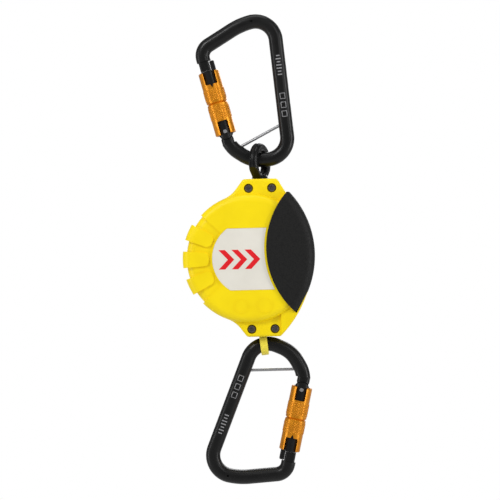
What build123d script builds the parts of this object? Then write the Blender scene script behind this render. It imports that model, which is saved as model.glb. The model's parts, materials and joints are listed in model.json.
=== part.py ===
from build123d import *
from math import acos, asin, atan2, cos, degrees, hypot, radians, sin, tan
import os

# Self retracting lifeline, in millimetres. It hangs from its anchor carabiner: +Z is up, the
# front faces -Y. All shapes are drawn with the drum's axis as the origin and are moved at the
# end, so that the row's origin is the seat inside the anchor carabiner, on the load line.

# ---- driving dimensions: load line and hang heights, from the drum's axis ----
LINE_X = 9.0                 # the load line runs this far right of the drum's axis
SEAT_Z = 167.4               # inside top of the anchor carabiner
EYE_BAR_Z = 71.5             # centre of the anchor carabiner's bar in the swivel eye
HOOK_BAR_Z = -63.0           # centre of the hook carabiner's bar in the lifeline's loop
ANCHOR_TILT = 5.3            # carabiners' turn from upright, anticlockwise seen from the front
HOOK_TILT = 158.0
GAP = 0.3                    # between pieces that move past each other
FIT = 0.05                   # radial clearance of a running fit

# ---- carabiner: X from spine (0) to gate (negative), Z from captive end to nose ----
STOCK_WIDTH = 10.4
STOCK_DEPTH = 11.0
STOCK_ROUND = 4.6
BODY_LINE = [(-45.2, 4.0), (-42.6, -11.5), (-27.5, -23.6), (0, -24.2),
             (0, 79.2), (-24, 76.3), (-55.4, 61.0), (-53.8, 51.0)]
BODY_BENDS = [20, 22, 15.5, 15, 50, 9]
EYE_POINT = (-22.0, -23.63)      # where the body's centreline hangs in the eye
HOOK_POINT = (-7.2, -21.45)      # where it hangs in the lifeline's loop
BAR_ENDS = [(-4.2, -0.1), (-35.0, -12.6)]
BAR_R = 1.05
GATE_PIVOT = (-44.4, -0.2)
GATE_LEAN = 9.25

# ---- gate and sleeve: Z along the gate from its rivet, +X towards the spine ----
ARM_R = 5.9
ARM_TOP = 45.6
CHEEK_R = 5.6
TANG_HALF = 2.3
TANG_R = 4.2
RIVET_R = 1.6
SLEEVE_R = 7.6
SLEEVE_BORE = ARM_R + GAP
SLEEVE_Z = (-2.0, 45.2)
SLEEVE_MID = 21.6
UPPER_SLOT = (8.8, 9.6)         # width and depth of the sleeve's upper slots
LOWER_SLOT = (7.6, 10.0)
SLOT_OVERRUN = 3.0               # how far a slot's cut runs past the sleeve's end
NOSE_SHOULDER = 53.3
NOSE_TAIL_Z = 46.4
SPLIT_X = 2.45                   # the line between the nose's tail and the gate's head
BORE_R = 2.2
SPRING_POCKET = (12.0, 28.0)
POCKET_R = 4.3

# ---- casing ----
DISC_R = 46.8
DOME_R = 46.5
DOME_HALF = 19.5
DOME_ROUND = 5.2
BOSS_HALF = 14.0
BOSS_ROUND = 2.0
CAVITY_R = 42.8
CAVITY_HALF = 16.6
TOP_Z = 57.4
BOTTOM_Z = -56.9
SIDE_ARC = (-20.0, 2.2, 67.5)    # centre x, z and radius of the casing's right side
GRIP_ARC = (74.4, 6.2, 62.0)     # of the grip's left edge
GRIP_HALF = 20.8
GRIP_WALL = 2.4
GRIP_ROUND = 7.0
LABEL_R = 26.8
LABEL_Z = (-22.9, 21.9)
LABEL_DEEP = 0.5
RIB_TURNS = (-24.6, 0.0, 24.6)
RIB_WIDTH = 11.8
RIB_R = 48.2
RIB_IN_R = 29.0
RECESS_R = 45.3
RECESS_SPAN = 43.0
SCREWS = [(0.6, 50.6), (17.4, 50.6), (0.6, -51.3), (17.4, -51.3)]
SCREW_R = 1.7
HEAD_R = 3.0
SINK_R = 3.35
RINGS = [(-6.4, -34.2, 5.4), (10.5, -33.8, 5.8)]   # moulded rings: x, z, radius

# ---- frame, swivel, drum and brake: Y is the drum's axis ----
LEG_Y = (6.2, 8.2)
SHAFT_R = 4.0
HUB_R = 14.0
COIL_R = 35.0
FLANGE_R = 38.0
FLANGE_Y = (3.5, 4.7)
WEB_WIDTH = 5.4
WEB_THICK = 1.75
TEETH = 18
TOOTH_TIP_R = 29.0
TOOTH_ROOT_R = 33.0
RING_R = 36.0
RING_Y = (-15.2, -12.2)
PAWL_PIVOT_R = 15.0
PAWL_TIP = (4.5, 19.0)           # the pawl's tip, from its pivot, at rest
PAWL_SWING = 22.0
PAWL_Y = (-14.4, -12.6)
PLATE_Y = (-12.2, -10.4)
CUP_R = 35.0
CUP_Y = (8.7, 15.4)
EYE_HOLE_R = 8.2
EYE_R = 14.8
EYE_THICK = 6.4
EYE_YAW = -22.0
NECK_Z = 58.1
SHANK_R = 4.9
STUD_R = 3.5
BRIDGE_Z = (50.6, 53.2)

# ---- lifeline's loop and nozzle ----
LOOP_TILT = 6.0
LOOP_R = 6.2                     # inside radius round the hook carabiner's bar
LOOP_TOP = 16.5                  # height of the sewn end above that bar
NOZZLE_X = (2.9, 12.9)
NOZZLE_Y = 9.4
SLOT_X = (4.2, 11.7)
SLOT_Y = 8.5
NOZZLE_TOP = -44.5
GUIDE_R = 2.0
GUIDE_Z = -41.4

GATE = Pos(GATE_PIVOT[0], 0, GATE_PIVOT[1]) * Rot(0, -GATE_LEAN, 0)
ANCHOR = Pos(LINE_X, 0, EYE_BAR_Z) * Rot(0, -ANCHOR_TILT, 0) * Pos(-EYE_POINT[0], 0, -EYE_POINT[1])
HOOK = Pos(LINE_X, 0, HOOK_BAR_Z) * Rot(0, -HOOK_TILT, 0) * Pos(-HOOK_POINT[0], 0, -HOOK_POINT[1])
TO_ROW = Pos(-LINE_X, 0, -SEAT_Z)


# ---- helpers ----
def slab(sketch, y_low, y_high):
    """A sketch seen from the front (x right, y up), as a solid between two depths."""
    return extrude(Plane.XZ.offset(-y_high) * sketch, amount=y_high - y_low, dir=(0, -1, 0))


def rod(x, z, radius, y_low, y_high):
    """A round bar along Y."""
    return slab(Pos(x, z) * Circle(radius), y_low, y_high)


def tube(x, z, outer, inner, y_low, y_high):
    return slab(Pos(x, z) * (Circle(outer) - Circle(inner)), y_low, y_high)


def block(x, y, z):
    """A box from three (low, high) pairs."""
    centre = Pos((x[0] + x[1]) / 2, (y[0] + y[1]) / 2, (z[0] + z[1]) / 2)
    return centre * Box(x[1] - x[0], y[1] - y[0], z[1] - z[0])


def post(radius, z_low, z_high):
    """A round bar along Z."""
    return Pos(0, 0, (z_low + z_high) / 2) * Cylinder(radius, z_high - z_low)


def coil(radius, wire, z_low, z_high, turns):
    """A coil spring along Z."""
    path = Helix((z_high - z_low) / turns, z_high - z_low, radius)
    wire_face = Plane(origin=path @ 0, z_dir=path % 0) * Circle(wire / 2)
    return Pos(0, 0, z_low) * sweep(wire_face, path=path, is_frenet=True)


def spiral(first_r, pitch, thick, half_turns):
    """A strip wound flat on itself, as a sketch: semicircles that step out by half a pitch."""
    edges = []
    for side in (-1, 1):
        for k in range(half_turns):
            radius = first_r + k * pitch / 2 + side * thick / 2
            up = 1 if k % 2 == 0 else -1
            centre = up * pitch / 4
            start = (centre - up * radius, 0)
            end = (centre + up * radius, 0)
            edges.append(ThreePointArc(start, (centre, up * radius), end))
    inner, outer = edges[:half_turns], edges[half_turns:]
    edges.append(Line(inner[0] @ 0, outer[0] @ 0))
    edges.append(Line(inner[-1] @ 1, outer[-1] @ 1))
    return make_face(edges)


def polygon(*points):
    """A filled polygon that faces up, whichever way round its corners are given."""
    area = sum(a[0] * b[1] - b[0] * a[1] for a, b in zip(points, points[1:] + points[:1]))
    return Polygon(*(points if area > 0 else points[::-1]), align=None)


def soft_cylinder(radius, half, rounding, x=0, z=0):
    """A disc along Y with both rims rounded."""
    disc = rod(x, z, radius, -half, half)
    rims = disc.edges().filter_by(GeomType.CIRCLE)
    return fillet(rims, rounding)


# ---- carabiner ----
def carabiner_body():
    path = Plane.XZ * FilletPolyline(*BODY_LINE, radius=BODY_BENDS)
    start = Plane(origin=path @ 0, x_dir=(0, 1, 0), z_dir=path % 0)
    body = sweep(start * RectangleRounded(STOCK_DEPTH, STOCK_WIDTH, STOCK_ROUND), path=path)
    body -= GATE * block((-12, 12), (-9, 9), (-9, 30))
    body -= GATE * block((-9, 14), (-9, 9), (40, NOSE_SHOULDER))
    body += GATE * hinge_end()
    body += GATE * nose_tail()
    return body - captive_bar()


def hinge_end():
    """The neck and tang that carry the gate's rivet."""
    neck = Pos(0, 0, -10) * extrude(RectangleRounded(9.2, STOCK_DEPTH - 0.8, 3.4), amount=4.8)
    cheek_room = rod(0, 0, CHEEK_R + 0.4, -9, -TANG_HALF) + rod(0, 0, CHEEK_R + 0.4, TANG_HALF, 9)
    tang = block((-TANG_R, TANG_R), (-TANG_HALF, TANG_HALF), (-8, 0))
    tang += rod(0, 0, TANG_R, -TANG_HALF, TANG_HALF)
    return neck - cheek_room + tang - rod(0, 0, RIVET_R, -TANG_HALF, TANG_HALF)


def nose_tail():
    """The half of the nose that the gate closes against."""
    tail = Pos((SPLIT_X - 5.3) / 2, 0, NOSE_TAIL_Z) * extrude(
        RectangleRounded(SPLIT_X + 5.3 - 0.15, 9.0, 1.6), amount=NOSE_SHOULDER + 1.4 - NOSE_TAIL_Z)
    return tail


def captive_bar():
    """The thin bar that keeps the eye or loop at the captive end."""
    (x1, z1), (x2, z2) = BAR_ENDS
    along = Vector(x2 - x1, 0, z2 - z1)
    return extrude(Plane(origin=(x1, 0, z1), z_dir=along) * Circle(BAR_R), amount=along.length)


def gate_rivet():
    rivet = rod(0, 0, RIVET_R, -ARM_R + 0.1, ARM_R - 0.1)
    return GATE * chamfer(rivet.edges(), 0.3)


def gate_arm():
    arm = post(ARM_R, -CHEEK_R, ARM_TOP)
    arm &= block((-9, 9), (-9, 9), (0, 60)) + rod(0, 0, CHEEK_R, -9, 9)
    slot = TANG_HALF + GAP
    arm -= block((-9, 9), (-slot, slot), (-9, TANG_R + 0.6))
    arm -= rod(0, 0, RIVET_R + FIT, -9, 9)
    arm -= post(BORE_R, 0, 31)
    arm -= post(9, *SPRING_POCKET) - post(POCKET_R, *SPRING_POCKET)
    for side in (-1, 1):
        line = block((SPLIT_X - 0.25, SPLIT_X + 0.25), (-0.6, 0.6), (34, 50))
        arm -= Pos(0, side * ARM_R * cos(asin(SPLIT_X / ARM_R)), 0) * line
    head = Pos((SPLIT_X + 0.15 + 6.1) / 2, 0, ARM_TOP) * extrude(
        RectangleRounded(6.1 - SPLIT_X - 0.15, 8.0, 1.2), amount=52.5 - ARM_TOP)
    head = fillet(head.edges().group_by(Axis.Z)[-1], 0.8)
    return GATE * (arm + head)


def gate_plunger():
    plunger = post(BORE_R - 0.2, TANG_R + 0.9, 12)
    return GATE * fillet(plunger.edges().group_by(Axis.Z)[0], 0.8)


def gate_spring():
    return GATE * coil(1.6, 0.6, 12.5, 30, 10)


def sleeve_spring():
    return GATE * coil(POCKET_R + 0.95, 0.8, 13, 27, 8)


def slot_cut(width, depth, end_z, up):
    """A square-ended slot through the sleeve from one end."""
    opening = Pos(0, end_z + up * (SLOT_OVERRUN - depth) / 2)
    return slab(opening * RectangleRounded(width, depth + SLOT_OVERRUN, 0.9), -9, 9)


def sleeve():
    ring = post(SLEEVE_R, *SLEEVE_Z)
    ring = chamfer(ring.edges(), 0.5)
    ring -= post(SLEEVE_BORE, SLEEVE_Z[0] - 1, SLEEVE_Z[1] + 1)
    groove = polygon((SLEEVE_R + 1, -1.9), (SLEEVE_R + 1, 1.9), (SLEEVE_R - 0.9, 0))
    ring -= Pos(0, 0, SLEEVE_MID) * revolve(Plane.XZ * groove, axis=Axis.Z)
    ring -= slot_cut(*UPPER_SLOT, SLEEVE_Z[1], 1)
    notch_z = SLEEVE_Z[1] - UPPER_SLOT[1]
    notch = polygon((-1.5, 0.6), (1.5, 0.6), (0, -2.6))
    ring -= slab(Pos(0, notch_z) * notch, -9, 9)
    ring -= slot_cut(*LOWER_SLOT, SLEEVE_Z[0], -1)
    return GATE * ring


# ---- swivel ----
def swivel_eye():
    """Forged ring with two fine lines round its rim, a tapered neck and a threaded stud."""
    radial = EYE_R - EYE_HOLE_R
    section = RectangleRounded(EYE_THICK, radial, 2.3)
    for side in (-1, 1):
        section -= Pos(side * 1.3, radial / 2) * Rot(0, 0, 45) * Rectangle(0.5, 0.5)
    ring = revolve(Plane.XZ * Pos(0, EYE_HOLE_R + radial / 2) * section, axis=Axis.X)
    centre_z = EYE_BAR_Z + 6.0 - EYE_HOLE_R
    ring = Pos(0, 0, centre_z) * Rot(0, 0, EYE_YAW) * ring
    taper = polygon((0, NECK_Z), (6.4, NECK_Z), (16, NECK_Z + 9.4), (16, 90), (0, 90))
    ring &= revolve(Plane.XZ * taper, axis=Axis.Z)
    neck = polygon((0, NECK_Z), (6.2, NECK_Z), (5.0, NECK_Z + 2.2), (0, NECK_Z + 2.6))
    ring += revolve(Plane.XZ * neck, axis=Axis.Z)
    ring += post(SHANK_R, BRIDGE_Z[1] + GAP, NECK_Z)
    ring += post(STUD_R, 43.6, NECK_Z)
    return Pos(LINE_X, 0, 0) * ring


def swivel_nut():
    nut = extrude(RegularPolygon(5.8, 6), amount=4.2) - Cylinder(STUD_R, 20)
    return Pos(LINE_X, 0, 44.8) * nut


def swivel_washer():
    washer = extrude(Circle(6.0) - Circle(STUD_R + GAP), amount=1.0)
    return Pos(LINE_X, 0, BRIDGE_Z[0] - 1.0) * washer


# ---- casing ----
def outline():
    """The casing seen from the front."""
    x, z, radius = SIDE_ARC
    shape = make_face([
        Line((-3.2, TOP_Z), (21.4, TOP_Z)),
        Line((21.4, TOP_Z), (27.3, 47.4)),
        Line((27.3, 47.4), (30.13, 47.4)),
        ThreePointArc((30.13, 47.4), (x + radius, z), (40.86, -27.0)),
        ThreePointArc((40.86, -27.0), (33.2, -42.4), (21.4, BOTTOM_Z)),
        Line((21.4, BOTTOM_Z), (-2.8, BOTTOM_Z)),
        Line((-2.8, BOTTOM_Z), (-8.0, -50.0)),
        ThreePointArc((-8.0, -50.0), (-11.4, -46.7), (-16.4, -43.83)),
        ThreePointArc((-16.4, -43.83), (-DISC_R, 0), (-17.2, 43.52)),
        ThreePointArc((-17.2, 43.52), (-12.2, 46.5), (-8.6, 50.2)),
        Line((-8.6, 50.2), (-3.2, TOP_Z)),
    ])
    corners = [(-3.2, TOP_Z), (21.4, TOP_Z), (21.4, BOTTOM_Z), (-2.8, BOTTOM_Z)]
    for corner in corners:
        shape = fillet(shape.vertices().sort_by_distance((*corner, 0))[0], 3.0)
    return shape


def grip_outline():
    """The grip's crescent: the casing's right edge, less the lip that shows below."""
    x, z, radius = GRIP_ARC
    lip = polygon((41.6, -25.0), (33.6, -39.4), (30, -46), (70, -46), (70, -25))
    crescent = outline() & Pos(x, z) * Circle(radius)
    return crescent - lip


def grip_form(inset=0.0):
    """The swell of the casing's right side, at the grip's surface or under it."""
    x, z, radius = SIDE_ARC
    return soft_cylinder(radius - inset, GRIP_HALF - inset, GRIP_ROUND - inset, x, z)


def casing_outer():
    """Both halves' outside as one solid, with the grips' seats cut back."""
    whole = outline()
    plate = slab(whole, -BOSS_HALF, BOSS_HALF)
    rims = plate.edges().group_by(Axis.Y)
    plate = fillet(rims[0] + rims[-1], BOSS_ROUND)
    corner = polygon((22, -34), (22, -60), (60, -60), (60, -34))
    raised = slab(offset(whole, -1.0) & corner, -BOSS_HALF - 2.2, BOSS_HALF + 2.2)
    shell = plate + raised + soft_cylinder(DOME_R, DOME_HALF, DOME_ROUND)
    wedge_reach = 80
    half_width = wedge_reach * tan(radians(RECESS_SPAN))
    wedge = polygon((0, 0), (-wedge_reach, half_width), (-wedge_reach, -half_width))
    zone = slab(wedge - Circle(RIB_IN_R - 1.5), -40, 40)
    shell -= zone - soft_cylinder(RECESS_R, DOME_HALF - 0.7, DOME_ROUND + 1)
    for rib in ribs():
        shell += rib
    seat = slab(grip_outline(), -40, 40)
    core = grip_form(GRIP_WALL)
    return shell - (seat - core) + (seat & core)


def ribs():
    """Three finger ribs that wrap from the face over the left rim."""
    skin = soft_cylinder(RIB_R, DOME_HALF + 0.7, DOME_ROUND + 1.4)
    made = []
    for turn in RIB_TURNS:
        pad = polygon((-52, -RIB_WIDTH / 2 - 0.4), (-52, RIB_WIDTH / 2 + 0.4),
                      (-RIB_IN_R, RIB_WIDTH / 2 - 1.2), (-RIB_IN_R, 1.2 - RIB_WIDTH / 2))
        inner_corners = pad.vertices().group_by(Axis.X)[-1]
        pad = Rot(0, 0, turn) * fillet(inner_corners, 4.0)
        made.append(skin & slab(pad, -40, 40))
    return made


def cavity():
    """Room for the drum, brake and spring, the frame's ears, the nozzle and the screws."""
    room = rod(0, 0, CAVITY_R, -CAVITY_HALF, CAVITY_HALF)
    room += block((-3.6, 21.6), (-8.6, 8.6), (38, 54.4))
    room += Pos(LINE_X, 0, 0) * post(SHANK_R + 0.4, 50, 60)
    room += block(NOZZLE_X, (-NOZZLE_Y, NOZZLE_Y), (-60, -38))
    for x, z in SCREWS:
        room += rod(x, z, SCREW_R + 0.2, -20, 20)
        room += rod(x, z, SINK_R, -20, -10.4)
        room += slab(Pos(x, z) * RegularPolygon(SINK_R + 0.25, 6), 9.6, 20)
    return room


def label_outline(inset=0.0):
    x, z, radius = GRIP_ARC
    band = Rectangle(60, LABEL_Z[1] - LABEL_Z[0] - 2 * inset)
    band = Pos(0, (LABEL_Z[0] + LABEL_Z[1]) / 2) * band
    disc = Circle(LABEL_R - inset) + Pos(15, 0) * Rectangle(30, 60)
    return (disc & band) - Pos(x, z) * Circle(radius + 1.3 + inset)


def casings():
    """The front and rear shells, which meet on the drum's middle plane."""
    solid = casing_outer() - cavity()
    label_seat = label_outline()
    solid -= slab(label_seat, -30, LABEL_DEEP - DOME_HALF)
    solid -= slab(label_seat, DOME_HALF - LABEL_DEEP, 30)
    for x, z, radius in RINGS:
        solid += tube(x, z, radius, radius - 0.7, -DOME_HALF - 0.25, 0.5 - DOME_HALF)
    front = solid & block((-90, 90), (-60, 0), (-90, 90))
    rear = solid & block((-90, 90), (0, 60), (-90, 90))
    return front, rear


def grips():
    """Front and rear grips, moulded over their seats."""
    seat = slab(grip_outline(), -40, 40)
    core = grip_form(GRIP_WALL)
    skin = (grip_form() & seat) - core
    front = skin & block((-90, 90), (-60, 0), (-90, 90))
    rear = skin & block((-90, 90), (0, 60), (-90, 90))
    return front, rear


def label(side):
    """A thin plate in its recess: side -1 is the front, 1 the rear."""
    plate = label_outline(inset=0.15)
    low, high = sorted((side * (DOME_HALF - LABEL_DEEP), side * (DOME_HALF - 0.1)))
    return slab(plate, low, high)


def casing_screws():
    screws = []
    for x, z in SCREWS:
        screw = rod(x, z, SCREW_R, -11, 12.4) + rod(x, z, HEAD_R, -12.6, -10.4)
        screw = fillet(screw.faces().sort_by(Axis.Y)[0].edges(), 0.7)
        for turn in (0, 60, 120):
            star = Pos(x, z) * Rot(0, 0, turn) * Rectangle(0.8, 3.0)
            screw -= slab(star, -13, -11.4)
        screws.append(screw)
    return Compound(children=screws)


def casing_nuts():
    nuts = [slab(Pos(x, z) * (RegularPolygon(SINK_R, 6) - Circle(SCREW_R)), 9.6, 12.2)
            for x, z in SCREWS]
    return Compound(children=nuts)


# ---- frame and drum ----
def load_frame():
    """A bent steel strap that carries the load from the drum's shaft to the swivel."""
    ears = Pos(LINE_X, 49.6) * RectangleRounded(23.6, 7.2, 1.6)
    strut = polygon((-9, 4), (-9, -4), (9, -6), (15.5, 46.4), (2.5, 46.4))
    leg = ears + strut + Circle(11) - Circle(6.0)
    for x, z in SCREWS[:2]:
        leg -= Pos(x, z) * Circle(SCREW_R + 0.2)
    frame = slab(leg, *LEG_Y) + slab(leg, -LEG_Y[1], -LEG_Y[0])
    bridge = block((LINE_X - 6.5, LINE_X + 6.5), (-LEG_Y[1], LEG_Y[1]), BRIDGE_Z)
    return frame + bridge - Pos(LINE_X, 0, 0) * post(STUD_R + GAP, 40, 60)


def frame_bushes():
    """Flanged bronze bushes for the drum's shaft, one in each leg."""
    bushes = []
    for side in (-1, 1):
        low, high = sorted((side * LEG_Y[0], side * (LEG_Y[1] + 0.2)))
        bushes.append(tube(0, 0, 6.0, SHAFT_R + FIT, low, high))
    return Compound(children=bushes)


def drum_shaft():
    shaft = rod(0, 0, SHAFT_R, -15.4, 15.2)
    return chamfer(shaft.edges(), 0.5)


def shaft_clips():
    """Retaining rings outside the brake plate and the spring arbor."""
    clip = Circle(6.2) - Circle(SHAFT_R) - Pos(0, 5) * Rectangle(3, 6)
    return Compound(children=[slab(clip, -13.1, -12.3), slab(clip, 5.0, 5.8)])


def drum_hub():
    hub = tube(0, 0, HUB_R, SHAFT_R, -FLANGE_Y[0], FLANGE_Y[0])
    hub -= rod(9.6, 0, 1.5, -FLANGE_Y[0], FLANGE_Y[0])
    for turn in range(0, 360, 60):
        hub -= rod(9.6 * cos(radians(turn + 30)), 9.6 * sin(radians(turn + 30)), 1.2, -9, 9)
    return hub


def line_pin():
    """The pin that holds the lifeline's inner end in the hub."""
    return rod(9.6, 0, 1.5, -FLANGE_Y[0], FLANGE_Y[0])


def drum_flange(side):
    disc = Circle(FLANGE_R) - Circle(SHAFT_R)
    for turn in range(0, 360, 60):
        x, z = cos(radians(turn)), sin(radians(turn))
        disc -= Pos(25 * x, 25 * z) * Circle(6.0)
        x, z = cos(radians(turn + 30)), sin(radians(turn + 30))
        disc -= Pos(9.6 * x, 9.6 * z) * Circle(1.2)
    low, high = sorted((side * FLANGE_Y[0], side * FLANGE_Y[1]))
    return slab(disc, low, high)


def flange_rivets():
    rivets = []
    for turn in range(0, 360, 60):
        x, z = 9.6 * cos(radians(turn + 30)), 9.6 * sin(radians(turn + 30))
        reach = FLANGE_Y[1]
        head = rod(x, z, 2.0, -reach - 0.6, -reach) + rod(x, z, 2.0, reach, reach + 0.6)
        rivets.append(rod(x, z, 1.2, -reach, reach) + head)
    return Compound(children=rivets)


def wound_lifeline():
    pitch = WEB_THICK + 0.05
    turns_twice = int(2 * (COIL_R - HUB_R) / pitch)
    strip = spiral(HUB_R + pitch / 4 + WEB_THICK / 2 + 0.05, pitch, WEB_THICK, turns_twice - 1)
    return slab(strip, -WEB_WIDTH / 2, WEB_WIDTH / 2)


def pawl_plate():
    plate = slab(Circle(20) - Circle(SHAFT_R), *PLATE_Y)
    for x, z, _ in pawl_spots():
        plate -= rod(x, z, 1.5, *PLATE_Y)
    return plate + tube(0, 0, 6.4, SHAFT_R, PLATE_Y[1], -8.7)


def pawl_spots():
    """The two pawls' pivots, opposite each other."""
    return [(PAWL_PIVOT_R, 0, 0), (-PAWL_PIVOT_R, 0, 180)]


def pawl_pins():
    pins = [rod(x, z, 1.5, -15.9, PLATE_Y[1]) for x, z, _ in pawl_spots()]
    return Compound(children=pins)


def pawl(index):
    """A hooked arm that swings out into the ratchet ring when the drum turns fast."""
    x, z, turn = pawl_spots()[index]
    tip_x, tip_z = PAWL_TIP
    arm = polygon((-3.0, 0), (tip_x - 3.6, tip_z - 2.4), (tip_x, tip_z), (3.0, 0))
    shape = arm + Circle(3.2) - Circle(1.5 + FIT)
    return slab(Pos(x, z) * Rot(0, 0, turn) * shape, *PAWL_Y)


def pawl_springs():
    """Torsion springs round the pawls' pins."""
    springs = []
    for x, z, _ in pawl_spots():
        spring = coil(2.2, 0.4, 0, 1.2, 2)
        springs.append(Pos(x, -14.7, z) * Rot(90, 0, 0) * spring)
    return Compound(children=springs)


def ratchet_ring():
    """Fixed ring with teeth inside. A gap lies where each pawl's tip swings out."""
    tip_x, tip_z = PAWL_TIP
    swing = radians(PAWL_SWING)
    out_x = PAWL_PIVOT_R + tip_x * cos(swing) + tip_z * sin(swing)
    out_z = tip_z * cos(swing) - tip_x * sin(swing)
    gap_turn = degrees(atan2(out_z, out_x)) - 2.0
    ring = Circle(RING_R) - Circle(TOOTH_ROOT_R)
    tooth_turn = 360 / TEETH
    tooth = polygon((TOOTH_TIP_R, -1.6), (TOOTH_TIP_R, 1.6),
                    (TOOTH_ROOT_R + 0.5, 2.6), (TOOTH_ROOT_R + 0.5, -2.6))
    for k in range(TEETH):
        ring += Rot(0, 0, gap_turn + (k + 0.5) * tooth_turn) * tooth
    return slab(ring, *RING_Y)


def brake_lining():
    return tube(0, 0, RING_R, TOOTH_ROOT_R, RING_Y[0] - 1.2, RING_Y[0])


def spring_cup():
    floor = tube(0, 0, CUP_R, 7.6, CUP_Y[0], CUP_Y[0] + 1.0)
    return floor + tube(0, 0, CUP_R, CUP_R - 1.2, *CUP_Y)


def spring_cover():
    return tube(0, 0, CUP_R, SHAFT_R + 0.6, CUP_Y[1], CUP_Y[1] + 0.8)


def spring_arbor():
    return tube(0, 0, 6.2, SHAFT_R, 8.7, 15.0)


def power_spring():
    """Flat steel spring, wound many times between the arbor and the cup."""
    return slab(spiral(7.2, 1.25, 0.45, 41), 10.1, 15.0)


# ---- nozzle and lifeline ----
def line_nozzle():
    """Outlet insert with a slot for the webbing's loop and ears for the guide bar."""
    insert = block(NOZZLE_X, (-NOZZLE_Y, NOZZLE_Y), (BOTTOM_Z, NOZZLE_TOP))
    ear = block((7.6, NOZZLE_X[1]), (5.2, 8.2), (NOZZLE_TOP, -38.9))
    insert += ear + mirror(ear, about=Plane.XZ)
    insert -= block(SLOT_X, (-SLOT_Y, SLOT_Y), (BOTTOM_Z - 1, NOZZLE_TOP - 1.4))
    insert -= block(SLOT_X, (-4.2, 4.2), (BOTTOM_Z - 1, NOZZLE_TOP + 1))
    return insert - guide_bar()


def guide_x():
    """The guide bar's centre: right of the webbing that it turns."""
    return run_x() + WEB_THICK / 2 + GAP + GUIDE_R


def run_x():
    """Where the webbing enters the sewn end of the loop."""
    return LINE_X - sin(radians(LOOP_TILT)) * LOOP_TOP


def guide_bar():
    return rod(guide_x(), GUIDE_Z, GUIDE_R, -8.2, 8.2)


def guided_line():
    """The webbing from the coil, round the guide bar and down to the loop."""
    coil_r = COIL_R + GAP + WEB_THICK / 2 + 0.4
    turn_r = GUIDE_R + GAP + WEB_THICK / 2
    apart = hypot(guide_x(), GUIDE_Z)
    to_guide = atan2(GUIDE_Z, guide_x())
    leave = to_guide + acos((coil_r + turn_r) / apart)
    start = (coil_r * cos(leave), coil_r * sin(leave))
    slope = tan(leave + radians(90))
    corner = (run_x(), start[1] + slope * (run_x() - start[0]))
    low = (run_x(), HOOK_BAR_Z + LOOP_TOP * cos(radians(LOOP_TILT)) + 0.6)
    path = Plane.XZ * FilletPolyline(start, corner, low, radius=turn_r)
    face = Plane(origin=path @ 0, x_dir=(0, 1, 0), z_dir=path % 0) * Rectangle(WEB_WIDTH, WEB_THICK)
    return sweep(face, path=path)


def loop_sketch():
    """The loop seen along the hook carabiner's bar: x is depth, y is up from the bar."""
    outer_r = LOOP_R + WEB_THICK
    outer = polygon((-WEB_THICK, LOOP_TOP), (WEB_THICK, LOOP_TOP), (WEB_THICK, 15.5),
                    (outer_r, 6.5), (outer_r, 0), (-outer_r, 0), (-outer_r, 6.5),
                    (-WEB_THICK, 15.5)) + Circle(outer_r)
    inner = polygon((0, 14.2), (LOOP_R, 6.0), (LOOP_R, 0), (-LOOP_R, 0),
                    (-LOOP_R, 6.0)) + Circle(LOOP_R)
    return outer - inner


def lifeline_loop():
    """The sewn end of the webbing, looped under the hook carabiner's bar."""
    strap = extrude(Plane.YZ * loop_sketch(), amount=WEB_WIDTH / 2, both=True)
    return Pos(LINE_X, 0, HOOK_BAR_Z) * Rot(0, -LOOP_TILT, 0) * strap


# ---- every node ----
def nodes():
    front_casing, rear_casing = casings()
    front_grip, rear_grip = grips()
    made = {
        "swivel_eye": swivel_eye(), "swivel_nut": swivel_nut(), "swivel_washer": swivel_washer(),
        "front_casing": front_casing, "rear_casing": rear_casing,
        "front_grip": front_grip, "rear_grip": rear_grip,
        "front_label": label(-1), "rear_label": label(1),
        "casing_screws": casing_screws(), "casing_nuts": casing_nuts(),
        "load_frame": load_frame(), "frame_bushes": frame_bushes(),
        "drum_shaft": drum_shaft(), "shaft_clips": shaft_clips(),
        "drum_hub": drum_hub(), "line_pin": line_pin(),
        "front_flange": drum_flange(-1), "rear_flange": drum_flange(1),
        "flange_rivets": flange_rivets(), "wound_lifeline": wound_lifeline(),
        "pawl_plate": pawl_plate(), "pawl_pins": pawl_pins(), "pawl_springs": pawl_springs(),
        "pawl_1": pawl(0), "pawl_2": pawl(1),
        "ratchet_ring": ratchet_ring(), "brake_lining": brake_lining(),
        "spring_cup": spring_cup(), "spring_cover": spring_cover(),
        "spring_arbor": spring_arbor(), "power_spring": power_spring(),
        "line_nozzle": line_nozzle(), "guide_bar": guide_bar(),
        "guided_line": guided_line(), "lifeline_loop": lifeline_loop(),
    }
    makers = {
        "body": carabiner_body, "captive_bar": captive_bar, "gate_rivet": gate_rivet,
        "gate_arm": gate_arm, "gate_plunger": gate_plunger, "gate_spring": gate_spring,
        "sleeve": sleeve, "sleeve_spring": sleeve_spring,
    }
    for name, maker in makers.items():
        shape = maker()
        made["anchor_" + name] = ANCHOR * shape
        made["hook_" + name] = HOOK * shape
    return made


os.makedirs("parts", exist_ok=True)
for node, shape in nodes().items():
    export_step(TO_ROW * shape, "parts/" + node + ".step")
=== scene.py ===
import json
import math

import bpy
from mathutils import Matrix, Vector


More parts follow.
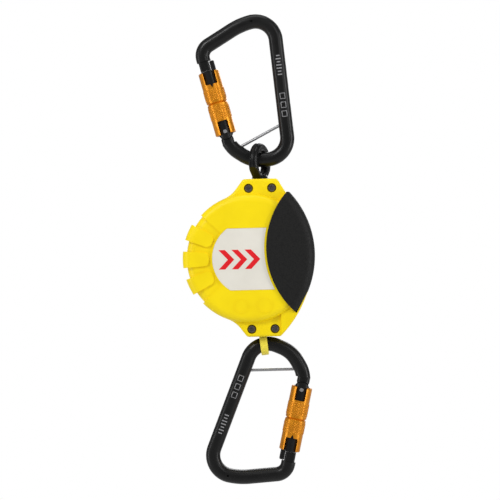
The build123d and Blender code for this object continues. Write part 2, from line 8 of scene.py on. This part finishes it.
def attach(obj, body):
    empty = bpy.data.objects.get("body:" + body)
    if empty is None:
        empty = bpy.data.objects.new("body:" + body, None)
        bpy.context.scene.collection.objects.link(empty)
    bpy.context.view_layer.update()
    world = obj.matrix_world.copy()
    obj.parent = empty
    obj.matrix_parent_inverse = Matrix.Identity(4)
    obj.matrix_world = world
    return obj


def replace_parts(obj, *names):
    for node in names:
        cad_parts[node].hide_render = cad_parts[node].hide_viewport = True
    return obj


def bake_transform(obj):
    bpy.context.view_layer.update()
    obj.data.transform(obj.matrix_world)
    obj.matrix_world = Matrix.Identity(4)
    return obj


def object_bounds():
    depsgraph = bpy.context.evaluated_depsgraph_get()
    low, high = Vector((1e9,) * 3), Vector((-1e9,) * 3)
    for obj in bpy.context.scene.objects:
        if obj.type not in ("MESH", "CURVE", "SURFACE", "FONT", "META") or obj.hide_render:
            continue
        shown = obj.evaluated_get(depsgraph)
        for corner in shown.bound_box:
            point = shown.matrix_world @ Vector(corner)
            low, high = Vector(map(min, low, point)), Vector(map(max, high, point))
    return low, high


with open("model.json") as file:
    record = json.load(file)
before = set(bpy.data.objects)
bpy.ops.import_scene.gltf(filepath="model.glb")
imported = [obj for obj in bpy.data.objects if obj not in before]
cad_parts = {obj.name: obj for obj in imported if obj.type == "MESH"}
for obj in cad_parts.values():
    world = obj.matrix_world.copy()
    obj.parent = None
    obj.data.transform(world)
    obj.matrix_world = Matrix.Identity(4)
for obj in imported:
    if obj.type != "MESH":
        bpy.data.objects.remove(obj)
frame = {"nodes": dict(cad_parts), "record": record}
cad_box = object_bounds()

# Self retracting lifeline. The origin is the seat inside the anchor carabiner, +Z is up along the
# load line and -Y is the front. Places with MM are in metres; plain sizes are in mm.
MM = 0.001
DRUM = Vector((-9.0, 0, -167.4)) * MM            # the drum's axis
EYE_BAR = Vector((0, 0, -95.9)) * MM             # the anchor carabiner's bar in the eye
HOOK_BAR = Vector((0, 0, -230.4)) * MM           # the hook carabiner's bar in the loop
ANCHOR_TILT, HOOK_TILT = 5.3, 158.0              # degrees, anticlockwise seen from the front
EYE_POINT, HOOK_POINT = (-22.0, -23.63), (-7.2, -21.45)   # each bar, in its carabiner's own frame
GATE_PIVOT, GATE_LEAN = (-44.4, -0.2), 9.25
STOCK_FLAT = 0.6                                 # half the width of the stock's flat front
STOCK_CENTRE, STOCK_R = 0.9, 4.6                 # its round corners: centre's depth and radius
DOME_FACE = 19.5                                 # the dome's face, from the middle plane

SLEEVE_R, SLEEVE_MID = 7.6, 21.6
KNURL_LOW, KNURL_HIGH, KNURL_GAP = 9.4, 32.2, 2.2   # the two bands' ends, and half the gap between
KNURL_POINTS, KNURL_DEPTH, KNURL_FADE = 26, 0.6, 0.6
KNURL_LIFT, KNURL_BASE = 0.04, 0.35
ETCH_LIFT, ETCH_SINK = 0.035, 0.05
TALLY = (1.3, 1.9, 1.3, 1.9, 1.9, 1.3, 1.6)      # half the length of each bar
TALLY_TOP, TALLY_STEP, TALLY_HALF = 50, 2.3, 0.42
FRAME_MIDDLES = (20.5, 14.0, 7.5)
FRAME_HALF_WIDTH, FRAME_HALF_HEIGHT = 1.95, 2.2
POST_WIDTH, RAIL_INSET, RAIL_HALF = 0.45, 0.2, 0.22
CHEVRON = ((0, 7), (4.6, 7), (11.2, 0), (4.6, -7), (0, -7), (6.6, 0))
CHEVRON_X, CHEVRON_Z, CHEVRON_STEP = -22.0, -0.6, 9.4
LABEL_SINK, INK_SINK, INK_LIFT = 0.1, 0.05, 0.06   # the label under the dome's face, the ink in and on it

WEB_WIDTH, WEB_THICK = 5.4, 1.75
LOOP_R, LOOP_TOP, LOOP_TILT = 6.2, 16.5, 6.0
STITCH_COLUMNS, STITCH_ROWS, STITCH_STEP = (-1.7, 0.0, 1.7), 3, 0.75
TURN_HEIGHT, HIDDEN_HEIGHT = 2.2, 3.4            # above the loop: the drawn line's turn ends, and its top
ROOM_LIGHT = 0.3                                 # the world's strength for all but the camera's rays
FLOOR_DROP, FLOOR_HALF, GLOW_DROP, GLOW_SIZE = 2.0, 12, 1.6, 24   # metres
NODES = frame["nodes"]


# ---- camera ----
def make_camera():
    """A long lens at the height of the drum, a degree to the right."""
    target, distance, width_seen = Vector((-0.0086, 0, -0.1614)), 1.4, 0.365
    azimuth, roll = math.radians(1.0), math.radians(-1.39)
    data = bpy.data.cameras.new("camera")
    data.sensor_width = 36
    data.lens = data.sensor_width * distance / width_seen
    data.clip_end = 50
    camera = bpy.data.objects.new("camera", data)
    back = Vector((math.sin(azimuth), -math.cos(azimuth), 0))
    turn = (-back).to_track_quat("-Z", "Y").to_matrix().to_4x4()
    place = Matrix.Translation(target + back * distance)
    camera.matrix_world = place @ turn @ Matrix.Rotation(roll, 4, "Z")
    bpy.context.scene.collection.objects.link(camera)
    bpy.context.scene.camera = camera


# ---- material helpers ----
class Shade:
    """A Principled material with short calls for its nodes."""

    def __init__(self, name, color, rough, metal=0.0, **sockets):
        self.mat = bpy.data.materials.new(name)
        self.mat.use_nodes = True
        self.tree = self.mat.node_tree
        self.shader = self.tree.nodes["Principled BSDF"]
        self.set("Base Color", (*color, 1))
        self.set("Roughness", rough)
        self.set("Metallic", metal)
        for key, value in sockets.items():
            self.set(key.replace("_", " "), value)
        self.coords = self.tree.nodes.new("ShaderNodeTexCoord").outputs["Object"]

    def set(self, socket, value):
        self.shader.inputs[socket].default_value = value

    def node(self, kind, inputs=(), **props):
        made = self.tree.nodes.new(kind)
        for key, value in props.items():
            setattr(made, key, value)
        for key, value in dict(inputs).items():
            if hasattr(value, "is_output"):
                self.tree.links.new(value, made.inputs[key])
            else:
                made.inputs[key].default_value = value
        return made

    def noise(self, scale, detail=3.0, stretch=(1, 1, 1)):
        """A noise value whose grains are about 1/scale metres wide."""
        place = self.node("ShaderNodeMapping", {"Vector": self.coords, "Scale": stretch})
        inputs = {"Vector": place.outputs[0], "Scale": scale, "Detail": detail}
        return self.node("ShaderNodeTexNoise", inputs).outputs[0]

    def math(self, operation, a, b=0.0):
        return self.node("ShaderNodeMath", {0: a, 1: b}, operation=operation).outputs[0]

    def ramp(self, value, low, high, start=0.0, end=1.0):
        """A value carried from one range to another."""
        made = self.node("ShaderNodeMapRange", {"Value": value, "From Min": start, "From Max": end,
                                                "To Min": low, "To Max": high})
        return made.outputs[0]

    def vary(self, value, dark, light):
        """Colour that runs between two tones with a value."""
        mix = self.node("ShaderNodeMix", {0: value, 6: (*dark, 1), 7: (*light, 1)}, data_type="RGBA")
        self.tree.links.new(mix.outputs[2], self.shader.inputs["Base Color"])

    def rough(self, value):
        self.tree.links.new(value, self.shader.inputs["Roughness"])

    def bump(self, height, strength, depth):
        made = self.node("ShaderNodeBump", {"Height": height, "Strength": strength, "Distance": depth})
        self.tree.links.new(made.outputs[0], self.shader.inputs["Normal"])


def moulded(name, dark, light, rough, grain=5200, depth=0.00003, **sockets):
    """Satin moulded plastic: faint flow marks, fine spark-eroded grain, uneven gloss."""
    shade = Shade(name, light, rough, **sockets)
    cloudy = shade.noise(55, 4)
    shade.vary(shade.ramp(cloudy, 0, 1, 0.35, 0.65), dark, light)
    shade.rough(shade.ramp(shade.noise(240, 5), rough - 0.06, rough + 0.08))
    shade.bump(shade.noise(grain, 2), 0.35, depth)
    return shade.mat


def grained_rubber(name):
    """Soft grip: a leather-like pebble with dull tops, its crevices painted darker as shade."""
    shade = Shade(name, (0.01, 0.01, 0.01), 0.5, Specular_IOR_Level=0.2)
    cells = shade.node("ShaderNodeTexVoronoi", {"Vector": shade.coords, "Scale": 1150},
                       feature="SMOOTH_F1").outputs[0]
    # painted shade: the colour is darker in the crevices between the pebbles and lighter on their tops
    shade.vary(shade.ramp(cells, 0, 1, 0.1, 0.7), (0.012, 0.012, 0.0115), (0.006, 0.006, 0.006))
    shade.rough(shade.ramp(cells, 0.46, 0.66, 0.1, 0.7))
    pebbles = shade.math("MULTIPLY", cells, -1.0)
    pores = shade.math("MULTIPLY", shade.noise(3600, 3), 0.5)
    shade.bump(shade.math("ADD", pebbles, pores), 0.55, 0.00012)
    return shade.mat


def metal(name, dark, light, rough, grain=900, stretch=(1, 1, 1), shine=1.0, depth=0.00002):
    """Metal with fine drawn or tumbled marks."""
    shade = Shade(name, light, rough, shine)
    marks = shade.noise(grain, 6, stretch)
    shade.vary(shade.ramp(marks, 0, 1, 0.3, 0.7), dark, light)
    shade.rough(shade.ramp(marks, rough - 0.07, rough + 0.1, 0.3, 0.7))
    shade.bump(marks, 0.25, depth)
    return shade.mat


def black_finish(name, rough):
    """Hard black finish on metal: a faint orange peel, light dust and uneven gloss."""
    shade = Shade(name, (0.004, 0.004, 0.004), rough, Specular_IOR_Level=0.22, Coat_Weight=0.14,
                  Coat_Roughness=0.22)
    dust = shade.noise(1500, 5)
    shade.vary(shade.ramp(dust, 0, 1, 0.6, 0.85), (0.003, 0.003, 0.003), (0.02, 0.02, 0.021))
    shade.rough(shade.ramp(shade.noise(120, 4), rough - 0.06, rough + 0.1, 0.3, 0.7))
    shade.bump(shade.noise(180, 2), 0.05, 0.00002)
    return shade.mat


def woven(name, dark, light):
    """Narrow webbing: crossing yarns with soft sheen, painted darker between the yarns as shade, with
    random fuzz in their colour.
    """
    shade = Shade(name, light, 0.72, Sheen_Weight=0.3)
    along = shade.node("ShaderNodeTexWave", {"Vector": shade.coords, "Scale": 520, "Distortion": 0.4},
                       bands_direction="Z").outputs[0]
    across = shade.node("ShaderNodeTexWave", {"Vector": shade.coords, "Scale": 420, "Distortion": 0.3},
                        bands_direction="X").outputs[0]
    yarns = shade.math("MULTIPLY", along, across)
    fuzz = shade.noise(2600, 4)
    # painted shade between the raised yarns, plus random fuzz in the yarns' colour
    tone = shade.math("ADD", shade.math("MULTIPLY", yarns, 0.7), shade.math("MULTIPLY", fuzz, 0.4))
    shade.vary(shade.ramp(tone, 0, 1, 0.1, 0.6), dark, light)
    shade.bump(shade.math("ADD", yarns, shade.math("MULTIPLY", fuzz, 0.3)), 0.7, 0.00018)
    return shade.mat


def make_materials():
    """One material for each slot of the record."""
    return {
        "yellow_casing": moulded("yellow_casing", (0.90, 0.68, 0.003), (0.95, 0.73, 0.004), 0.38,
                                 Specular_IOR_Level=0.2),
        "black_grip": grained_rubber("black_grip"),
        "cream_label": moulded("cream_label", (0.74, 0.71, 0.63), (0.78, 0.75, 0.67), 0.42, 2400, 0.00001),
        "nozzle_plastic": moulded("nozzle_plastic", (0.012, 0.012, 0.012), (0.02, 0.02, 0.02), 0.4),
        "black_anodised": black_finish("black_anodised", 0.36),
        "forged_black": black_finish("forged_black", 0.27),
        "gold_anodised": metal("gold_anodised", (0.58, 0.20, 0.003), (0.74, 0.28, 0.004), 0.32, 900,
                               (1, 1, 0.2), 0.6, 0.000005),
        "stainless": metal("stainless", (0.30, 0.30, 0.31), (0.44, 0.44, 0.45), 0.4, 1500, (1, 1, 5)),
        "spring_steel": metal("spring_steel", (0.28, 0.28, 0.3), (0.42, 0.42, 0.44), 0.3),
        "dark_screw": metal("dark_screw", (0.07, 0.062, 0.058), (0.26, 0.24, 0.23), 0.36, 1500),
        "steel_plate": metal("steel_plate", (0.38, 0.38, 0.4), (0.55, 0.55, 0.57), 0.34, 700, (1, 8, 1)),
        "bronze": metal("bronze", (0.42, 0.24, 0.09), (0.6, 0.38, 0.17), 0.42),
        "drum_alloy": metal("drum_alloy", (0.55, 0.55, 0.57), (0.72, 0.72, 0.74), 0.38),
        "webbing": woven("webbing", (0.86, 0.68, 0.02), (0.97, 0.84, 0.08)),
    }


# ---- mesh helpers ----
def add_mesh(name, points, faces, material, smooth=True):
    mesh = bpy.data.meshes.new(name)
    mesh.from_pydata([tuple(p) for p in points], [], faces)
    mesh.validate()
    mesh.polygons.foreach_set("use_smooth", [smooth] * len(mesh.polygons))
    mesh.materials.append(material)
    made = bpy.data.objects.new(name, mesh)
    bpy.context.scene.collection.objects.link(made)
    return made


def join_shapes(shapes):
    """Several (points, faces) as one."""
    points, faces = [], []
    for more_points, more_faces in shapes:
        base = len(points)
        points += more_points
        faces += [tuple(i + base for i in face) for face in more_faces]
    return points, faces


def loft(rings, closed_ends=True):
    """Skins a row of closed rings of points, each with as many points as the next."""
    count = len(rings[0])
    points = [p for ring in rings for p in ring]
    faces = []
    for r in range(len(rings) - 1):
        for k in range(count):
            a, b = r * count + k, r * count + (k + 1) % count
            faces.append((a, b, b + count, a + count))
    if closed_ends:
        faces.append(tuple(range(count))[::-1])
        faces.append(tuple(range(len(points) - count, len(points))))
    return points, faces


def front_turn(degrees):
    """A turn anticlockwise seen from the front."""
    return Matrix.Rotation(math.radians(-degrees), 4, "Y")


def carabiner_place(which):
    """Where a carabiner's own frame is: X from its spine, Z towards its nose, in metres."""
    if which == "anchor":
        bar, tilt, seat = EYE_BAR, ANCHOR_TILT, EYE_POINT
    else:
        bar, tilt, seat = HOOK_BAR, HOOK_TILT, HOOK_POINT
    back = Matrix.Translation(Vector((-seat[0], 0, -seat[1])) * MM)
    return Matrix.Translation(bar) @ front_turn(tilt) @ back


def gate_place(which):
    """Where a gate's own frame is: the origin at its rivet, Z along the gate."""
    pivot = Matrix.Translation(Vector((GATE_PIVOT[0], 0, GATE_PIVOT[1])) * MM)
    return carabiner_place(which) @ pivot @ front_turn(GATE_LEAN)


# ---- knurled bands on the sleeves ----
def knurl_height(turn, z, pitch):
    """Diamond points, from 0 in the grooves to 1 at the tips."""
    around = turn * SLEEVE_R / pitch
    peaks = [abs(((around + sign * z / pitch) % 1) * 2 - 1) for sign in (-1, 1)]
    return min(peaks[0], peaks[1])


def knurl_band(which, tag, low, high, material):
    """A ring of cut diamonds round a sleeve, closed by an inner face within the sleeve's wall."""
    steps, rows = 240, 56
    pitch = 2 * math.pi * SLEEVE_R / KNURL_POINTS
    place = gate_place(which)
    rings = []
    for row in range(-2, rows + 3):
        z = low + (high - low) * min(max(row, 0), rows) / rows
        ease = min(1, (z - low) / KNURL_FADE, (high - z) / KNURL_FADE)
        ring = []
        for k in range(steps):
            turn = 2 * math.pi * k / steps
            height = KNURL_DEPTH * ease * (knurl_height(turn, z, pitch) - KNURL_BASE)
            radius = SLEEVE_R + KNURL_LIFT + height
            if row in (-2, rows + 2):
                radius = SLEEVE_R - 0.5
            elif row in (-1, rows + 1):
                radius = SLEEVE_R - 0.02
            ring.append(place @ (Vector((radius * math.cos(turn), radius * math.sin(turn), z)) * MM))
        rings.append(ring)
    points, faces = loft(rings, closed_ends=False)
    last = (len(rings) - 1) * steps
    faces += [((k + 1) % steps, k, last + k, last + (k + 1) % steps) for k in range(steps)]
    band = add_mesh(f"{which}_knurl_{tag}", points, faces, material)
    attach(band, which + "_sleeve")


# ---- marks etched in the carabiners' spines ----
def spine_depth(x):
    """How far the stock's front stands out at a distance from its middle, in mm."""
    over = max(0.0, abs(x) - STOCK_FLAT)
    return STOCK_CENTRE + math.sqrt(STOCK_R ** 2 - over ** 2)


def etched_patch(place, x_span, s_span):
    """A thin patch that follows the stock's rounded front, from x_span and s_span in mm."""
    steps = 6
    xs = [x_span[0] + (x_span[1] - x_span[0]) * k / steps for k in range(steps + 1)]
    rings = []
    for s in s_span:
        for lift in (ETCH_LIFT, -ETCH_SINK):
            row = xs if lift > 0 else xs[::-1]
            rings.append([place @ (Vector((x, -spine_depth(x) - lift, s)) * MM) for x in row])
    return loft([rings[0] + rings[1], rings[2] + rings[3]])


def etched_marks(which, material):
    """Plain inspection marks with no letters: a tally of bars, then three empty frames."""
    place = carabiner_place(which)
    shapes = []
    for k, half in enumerate(TALLY):
        s = TALLY_TOP - TALLY_STEP * k
        shapes.append(etched_patch(place, (-half, half), (s - TALLY_HALF, s + TALLY_HALF)))
    wide, high = FRAME_HALF_WIDTH, FRAME_HALF_HEIGHT
    for middle in FRAME_MIDDLES:
        for side in (-1, 1):
            post = sorted((side * (wide - POST_WIDTH), side * wide))
            shapes.append(etched_patch(place, post, (middle - high, middle + high)))
            rail = middle + side * (high - RAIL_INSET)
            shapes.append(etched_patch(place, (-wide, wide), (rail - RAIL_HALF, rail + RAIL_HALF)))
    marks = add_mesh(which + "_marks", *join_shapes(shapes), material)
    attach(marks, which + "_carabiner")


# ---- the labels' plain mark ----
def label_mark(side, material):
    """Three bold chevrons, printed as thin raised ink. Side -1 is the front, 1 the rear."""
    shapes = []
    face = DOME_FACE - LABEL_SINK
    for k in range(3):
        x = CHEVRON_X + CHEVRON_STEP * k
        rings = [[DRUM + Vector((x + a, side * (face + up), b + CHEVRON_Z)) * MM for a, b in CHEVRON]
                 for up in (-INK_SINK, INK_LIFT)]
        shapes.append(loft(rings[::-1] if side < 0 else rings))
    name = "front_mark" if side < 0 else "rear_mark"
    mark = add_mesh(name, *join_shapes(shapes), material, smooth=False)
    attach(mark, "housing")


# ---- webbing ----
def smooth_path(points, steps):
    """Points along a Catmull-Rom line through the given ones."""
    padded = [points[0] * 2 - points[1], *points, points[-1] * 2 - points[-2]]
    line = []
    for k in range(1, len(padded) - 2):
        a, b, c, d = padded[k - 1:k + 3]
        for step in range(steps):
            t = step / steps
            line.append(0.5 * (2 * b + (c - a) * t + (2 * a - 5 * b + 4 * c - d) * t ** 2
                               + (3 * b - a - 3 * c + d) * t ** 3))
    return [*line, points[-1]]


def strap_ring(centre, across, normal):
    """The webbing's section: thin, rounded edges and faint ribs woven along it."""
    ring = []
    for side in (1, -1):
        for k in range(13):
            u = side * (1 - 2 * k / 12)
            rib = 0.07 * math.cos(u * 5 * math.pi) if abs(u) < 0.95 else 0
            edge = 5 * max(0.0, abs(u) - 0.8) * (abs(u) - 0.6) / 0.4
            half = WEB_THICK / 2 * (1 - 0.75 * edge)
            ring.append(centre + across * (u * WEB_WIDTH / 2 * MM) + normal * (side * (half + rib) * MM))
    return ring


def strap_along(line, across):
    """Webbing along a line of points, its width always along across."""
    rings = []
    for k, point in enumerate(line):
        along = (line[min(k + 1, len(line) - 1)] - line[max(k - 1, 0)]).normalized()
        rings.append(strap_ring(point, across, along.cross(across).normalized()))
    return loft(rings)


def loop_frame():
    """The loop's own frame: the origin in the middle of the bar, Z up to the sewn end."""
    return Matrix.Translation(HOOK_BAR) @ front_turn(LOOP_TILT)


def webbing_loop(material, thread):
    """The webbing's end, looped under the hook carabiner's bar and sewn back on itself."""
    place = loop_frame()
    across = (place.to_3x3() @ Vector((1, 0, 0))).normalized()
    middle = LOOP_R + WEB_THICK / 2
    turns = [math.radians(a) for a in range(0, -181, -15)]
    arc = [(middle * math.cos(turn), middle * math.sin(turn)) for turn in turns]
    right = [(0.92, LOOP_TOP), (0.95, 14.9), (1.7, 13.0), (4.9, 7.6), (6.9, 3.2)]
    left = [(-y, z) for y, z in right[::-1]]
    line = [place @ (Vector((0, y, z)) * MM) for y, z in right + arc + left]
    loop = add_mesh("webbing_loop", *strap_along(smooth_path(line, 4), across), material)
    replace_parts(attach(loop, "lifeline"), "lifeline_loop")
    shapes = []
    for side in (-1, 1):
        for column in STITCH_COLUMNS:
            for row in range(STITCH_ROWS):
                shapes.append(stitch(place, side, column, LOOP_TOP - 0.5 - STITCH_STEP * row))
    sewing = add_mesh("loop_stitches", *join_shapes(shapes), thread)
    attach(sewing, "lifeline")


def stitch(place, side, column, z):
    """One short stitch on the loop's sewn end, shorter at its crown."""
    profile = ((-0.14, -0.1, 0.25), (0.14, -0.1, 0.25), (0.14, 0.12, 0.12), (-0.14, 0.12, 0.12))
    top = [Vector((column + dx, side * (1.86 + dy), z + dz)) for dx, dy, dz in profile]
    low = [Vector((p.x, p.y, 2 * z - p.z)) for p in top]
    rings = [top, low] if side < 0 else [low, top]
    return loft([[place @ (p * MM) for p in ring] for ring in rings])


def drawn_line(material):
    """The line in the nozzle, where it is drawn out: a quarter turn on its way down."""
    top_of_loop = loop_frame() @ (Vector((0, 0, LOOP_TOP - 0.1)) * MM)
    x, low, high = top_of_loop.x, top_of_loop.z, top_of_loop.z + HIDDEN_HEIGHT * MM
    turn_end, rows = low + TURN_HEIGHT * MM, 70
    rings = []
    for row in range(rows + 1):
        z = high + (low - high) * row / rows
        turn = math.pi / 2 * min(1.0, max(0.0, (z - turn_end) / (high - turn_end)))
        across = Vector((math.cos(turn), math.sin(turn), 0))
        rings.append(strap_ring(Vector((x, 0, z)), across, Vector((-across.y, across.x, 0))))
    line = add_mesh("drawn_line", *loft(rings), material)
    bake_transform(line)


# ---- light and floor ----
def area_light(name, place, target, size, power):
    data = bpy.data.lights.new(name, "AREA")
    data.shape = "RECTANGLE"
    data.size, data.size_y = size
    data.energy = power
    light = bpy.data.objects.new(name, data)
    light.location = place
    light.rotation_euler = (Vector(target) - Vector(place)).to_track_quat("-Z", "Y").to_euler()
    bpy.context.scene.collection.objects.link(light)


def make_world():
    """A room that is white to the camera, and dimmer to every other ray, so it lights softly."""
    world = bpy.data.worlds.new("studio")
    world.use_nodes = True
    nodes, links = world.node_tree.nodes, world.node_tree.links
    room, sky = nodes["Background"], nodes.new("ShaderNodeBackground")
    seen, mix = nodes.new("ShaderNodeLightPath"), nodes.new("ShaderNodeMixShader")
    room.inputs["Color"].default_value = (1, 1, 1, 1)
    room.inputs["Strength"].default_value = ROOM_LIGHT
    sky.inputs["Color"].default_value = (1, 1, 1, 1)
    links.new(seen.outputs["Is Camera Ray"], mix.inputs[0])
    links.new(room.outputs[0], mix.inputs[1])
    links.new(sky.outputs[0], mix.inputs[2])
    links.new(mix.outputs[0], nodes["World Output"].inputs[0])
    bpy.context.scene.world = world


def make_studio():
    """Soft lights round the object, and a floor with its own light far below it."""
    bpy.context.scene.view_settings.view_transform = "Standard"
    make_world()
    bottom = cad_box[0].z
    area_light("key", (-0.7, -1.1, 0.8), (0, 0, -0.14), (0.5, 0.5), 9.8)
    area_light("front", (0.9, -1.4, 0.5), (0, 0, -0.18), (0.3, 0.9), 3.5)
    area_light("top", (0.0, -0.2, 1.1), (0, 0, -0.15), (0.9, 0.5), 4)
    area_light("right", (1.3, -0.5, -0.1), (0, 0, -0.2), (0.2, 1.2), 8)
    area_light("left", (-1.3, -0.45, -0.2), (0, 0, -0.2), (0.2, 1.2), 5)
    area_light("rim", (0.3, 1.1, 0.4), (0, 0, -0.15), (0.8, 0.8), 7)
    area_light("floor_glow", (0, 0, bottom - GLOW_DROP), (0, 0, -9), (GLOW_SIZE, GLOW_SIZE), 700)
    shade = Shade("pale_floor", (0.9, 0.9, 0.9), 0.8)
    shade.vary(shade.noise(2, 3), (0.88, 0.88, 0.88), (0.92, 0.92, 0.92))
    level = bottom - FLOOR_DROP
    signs = ((-1, -1), (1, -1), (1, 1), (-1, 1))
    corners = [Vector((a * FLOOR_HALF, b * FLOOR_HALF, level)) for a, b in signs]
    add_mesh("floor", corners, [(0, 1, 2, 3)], shade.mat, smooth=False)


make_camera()
MATERIALS = make_materials()
for part in frame["record"]["subparts"]:
    slots = NODES[part["node"]].data.materials
    slots.clear()
    slots.append(MATERIALS[part["material_slot"]])
etch = metal("laser_etch", (0.20, 0.20, 0.21), (0.34, 0.34, 0.35), 0.5, 2600, shine=0.2)
red_ink = moulded("red_ink", (0.70, 0.008, 0.014), (0.80, 0.012, 0.020), 0.45, 3000, 0.00001,
                  Specular_IOR_Level=0.25)
red_thread = woven("red_thread", (0.35, 0.02, 0.02), (0.6, 0.04, 0.04))
for which in ("anchor", "hook"):
    knurl_band(which, "low", KNURL_LOW, SLEEVE_MID - KNURL_GAP, MATERIALS["gold_anodised"])
    knurl_band(which, "high", SLEEVE_MID + KNURL_GAP, KNURL_HIGH, MATERIALS["gold_anodised"])
    etched_marks(which, etch)
label_mark(-1, red_ink)
label_mark(1, red_ink)
webbing_loop(MATERIALS["webbing"], red_thread)
drawn_line(MATERIALS["webbing"])
make_studio()
